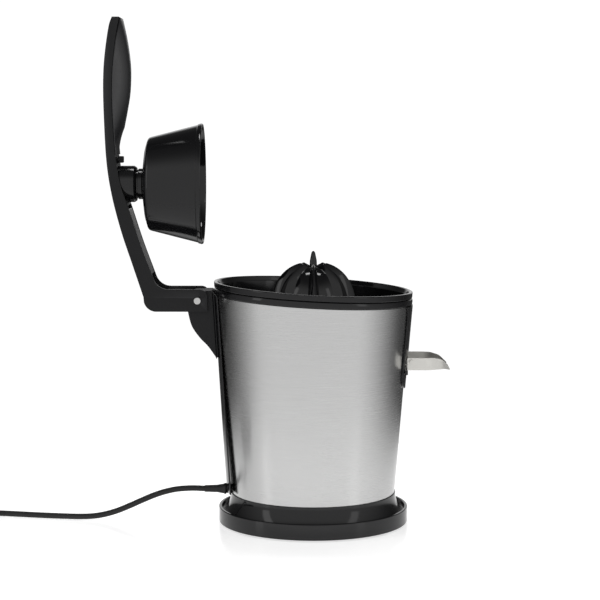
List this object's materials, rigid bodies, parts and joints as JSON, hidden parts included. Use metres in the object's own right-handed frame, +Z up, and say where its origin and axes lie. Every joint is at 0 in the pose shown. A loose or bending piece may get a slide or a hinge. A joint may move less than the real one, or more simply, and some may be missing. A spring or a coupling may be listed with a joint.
{
  "type": "citrus press juicer",
  "caption": "Tapered steel-clad citrus juicer with a hinged press lever and bell, a lift-out strainer, two nested reamer cones, a tilting spout and a geared drive.",
  "frame": {"origin": "on the surface the juicer stands on, under the spindle's axis; the base cover's flat underside is 2.5 mm above it", "axes": "+Z up along the spindle, +X towards the spout, -X towards the lever's hinge, +Y towards the left side seen from the spout"},
  "size_m": [0.536, 0.1884, 0.48],
  "materials": {
    "gloss_black": "high-gloss black moulded plastic",
    "satin_black": "satin black moulded plastic",
    "matt_black": "matt black soft-touch finish",
    "rubber": "black flexible rubber or PVC",
    "brushed_steel": "fine brushed stainless steel",
    "pin_steel": "polished steel",
    "zinc_plate": "zinc-plated steel",
    "gear_nylon": "natural nylon",
    "motor_steel": "grey steel can",
    "bronze": "sintered bronze",
    "plug_brass": "bright brass"
  },
  "bodies": {
    "housing": {"base_tray": "gloss_black", "base_cover": "satin_black", "rubber_foot_1": "rubber", "rubber_foot_2": "rubber", "rubber_foot_3": "rubber", "rubber_foot_4": "rubber", "base_screw_1": "zinc_plate", "base_screw_2": "zinc_plate", "base_screw_3": "zinc_plate", "base_screw_4": "zinc_plate", "steel_shell": "brushed_steel", "rear_spine": "gloss_black", "front_panel": "gloss_black", "collar_ring": "gloss_black", "juice_bowl": "gloss_black", "shaft_seal": "rubber", "gear_plate": "zinc_plate", "gear_cover": "satin_black", "support_post_1": "satin_black", "support_post_2": "satin_black", "support_post_3": "satin_black", "gear_spacer_1": "zinc_plate", "gear_spacer_2": "zinc_plate", "gear_spacer_3": "zinc_plate", "motor_can": "motor_steel", "compound_axle": "pin_steel", "spindle_bush": "bronze", "start_switch": "satin_black", "switch_bracket": "zinc_plate", "hinge_bracket": "matt_black", "hinge_pin": "pin_steel", "pin_clip": "zinc_plate", "cord_gland": "rubber", "cord_lead": "rubber", "cord_tail": "rubber", "cord_coil": "rubber", "cord_tie": "rubber", "plug": "rubber", "plug_pin_1": "plug_brass", "plug_pin_2": "plug_brass"},
    "press_lever": {"lever_arm": "matt_black", "lever_inner_cover": "gloss_black", "grip_hull": "gloss_black", "bell_boss": "satin_black", "bell_neck": "satin_black", "bell_cup": "gloss_black", "bell_release_tab": "matt_black"},
    "spout": {"spout": "brushed_steel"},
    "strainer": {"strainer": "gloss_black"},
    "pulp_ring": {"pulp_ring": "gloss_black"},
    "cone_drive": {"hub_ring": "gloss_black"},
    "small_cone": {"small_cone": "gloss_black"},
    "large_cone": {"large_cone": "gloss_black"},
    "spindle_carrier": {"thrust_bearing": "bronze"},
    "output_spindle": {"spindle": "pin_steel", "output_gear": "gear_nylon"},
    "compound_gear": {"compound_gear": "gear_nylon"},
    "motor_rotor": {"motor_pinion": "zinc_plate"},
    "switch_plunger": {"switch_plunger": "gear_nylon"}
  },
  "joints": [
    {"name": "lever_hinge", "type": "hinge", "parent": "housing", "child": "press_lever", "pos_m": [-0.109, 0, 0.2145], "axis": [0, -1, 0], "range_deg": [-90, 0]},
    {"name": "spout_tilt", "type": "hinge", "parent": "housing", "child": "spout", "pos_m": [0.092, 0, 0.1575], "axis": [0, 1, 0], "range_deg": [-15, 0]},
    {"name": "strainer_lift", "type": "slide", "parent": "housing", "child": "strainer", "axis": [0, 0, 1], "range_m": [0, 0.099]},
    {"name": "pulp_ring_turn", "type": "hinge", "parent": "strainer", "child": "pulp_ring", "pos_m": [0, 0, 0.205], "axis": [0, 0, 1], "range_deg": [-20, 0]},
    {"name": "cone_spin", "type": "hinge", "parent": "strainer", "child": "cone_drive", "pos_m": [0, 0, 0.2], "axis": [0, 0, 1], "continuous": true},
    {"name": "small_cone_lift", "type": "slide", "parent": "cone_drive", "child": "small_cone", "axis": [0, 0, 1], "range_m": [0, 0.05]},
    {"name": "large_cone_lift", "type": "slide", "parent": "small_cone", "child": "large_cone", "axis": [0, 0, 1], "range_m": [0, 0.0645]},
    {"name": "spindle_press", "type": "slide", "parent": "housing", "child": "spindle_carrier", "axis": [0, 0, -1], "range_m": [0, 0.0012], "stiffness_N_per_m": 4000, "springref_m": -0.002},
    {"name": "spindle_spin", "type": "hinge", "parent": "spindle_carrier", "child": "output_spindle", "pos_m": [0, 0, 0.12], "axis": [0, 0, 1], "continuous": true},
    {"name": "compound_spin", "type": "hinge", "parent": "housing", "child": "compound_gear", "pos_m": [0, 0.0405, 0.12], "axis": [0, 0, 1], "continuous": true},
    {"name": "motor_spin", "type": "hinge", "parent": "housing", "child": "motor_rotor", "pos_m": [-0.03475, 0.02279, 0.1], "axis": [0, 0, 1], "continuous": true},
    {"name": "plunger_press", "type": "slide", "parent": "housing", "child": "switch_plunger", "axis": [0, 0, -1], "range_m": [0, 0.0012], "stiffness_N_per_m": 200, "springref_m": -0.001}
  ],
  "couplings": [
    {"joint": "cone_spin", "follows": "spindle_spin", "ratio": 1},
    {"joint": "compound_spin", "follows": "spindle_spin", "ratio": -2.8571},
    {"joint": "motor_spin", "follows": "spindle_spin", "ratio": 9.5238},
    {"joint": "plunger_press", "follows": "spindle_press", "ratio": 1}
  ]
}
